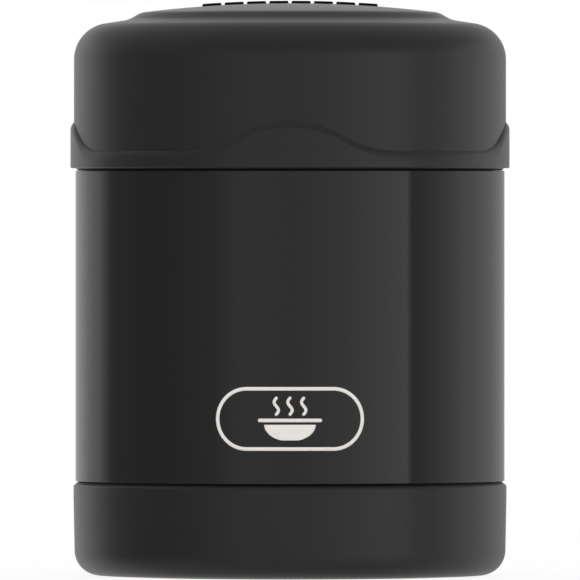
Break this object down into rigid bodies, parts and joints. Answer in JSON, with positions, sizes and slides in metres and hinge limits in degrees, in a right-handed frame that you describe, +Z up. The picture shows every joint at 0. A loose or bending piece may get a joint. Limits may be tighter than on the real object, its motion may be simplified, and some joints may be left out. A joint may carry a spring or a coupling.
{
  "type": "insulated food jar",
  "caption": "Vacuum-insulated steel food jar with a moulded boot, a wide threaded mouth and a domed screw lid with a wavy grip band, a foam-filled plug and a gasket.",
  "frame": {"origin": "on the jar's axis, at the surface that the boot's foot ring stands on", "axes": "+Z up along the axis of the jar and its screw thread, -Y towards the front, where the lid's grip band has a lobe, +X to the viewer's right"},
  "size_m": [0.0876, 0.0876, 0.1148],
  "materials": {
    "black_moulded_plastic": "matte",
    "black_soft_plastic": "matte",
    "black_painted_steel": "satin",
    "steel": "satin",
    "foil": "gloss",
    "seal_glass": "gloss",
    "getter": "matte",
    "bond": "matte",
    "silicone": "satin",
    "grey_moulded_plastic": "satin",
    "foam": "matte"
  },
  "bodies": {
    "jar": {"base_boot": "black_moulded_plastic", "boot_bond_ring": "bond", "outer_shell": "black_painted_steel", "outer_base_plate": "steel", "seal_bead": "seal_glass", "seal_cover": "steel", "getter_pellet": "getter", "getter_strap": "steel", "inner_vessel": "steel", "radiation_foil": "foil"},
    "gasket": {"lid_gasket": "silicone"},
    "lid": {"lid_shell": "black_moulded_plastic", "lid_grip_band": "black_soft_plastic", "lid_inner_cap": "grey_moulded_plastic", "lid_foam": "foam"}
  },
  "joints": [
    {"name": "gasket_rise", "type": "slide", "parent": "jar", "child": "gasket", "axis": [0, 0, 1], "range_m": [0, 0.0501]},
    {"name": "lid_turn", "type": "hinge", "parent": "gasket", "child": "lid", "pos_m": [0, 0, 0.0975], "axis": [0, 0, 1], "range_deg": [0, 3600]}
  ],
  "couplings": [
    {"joint": "gasket_rise", "follows": "lid_turn", "m_per_rad": 0.00079577}
  ]
}
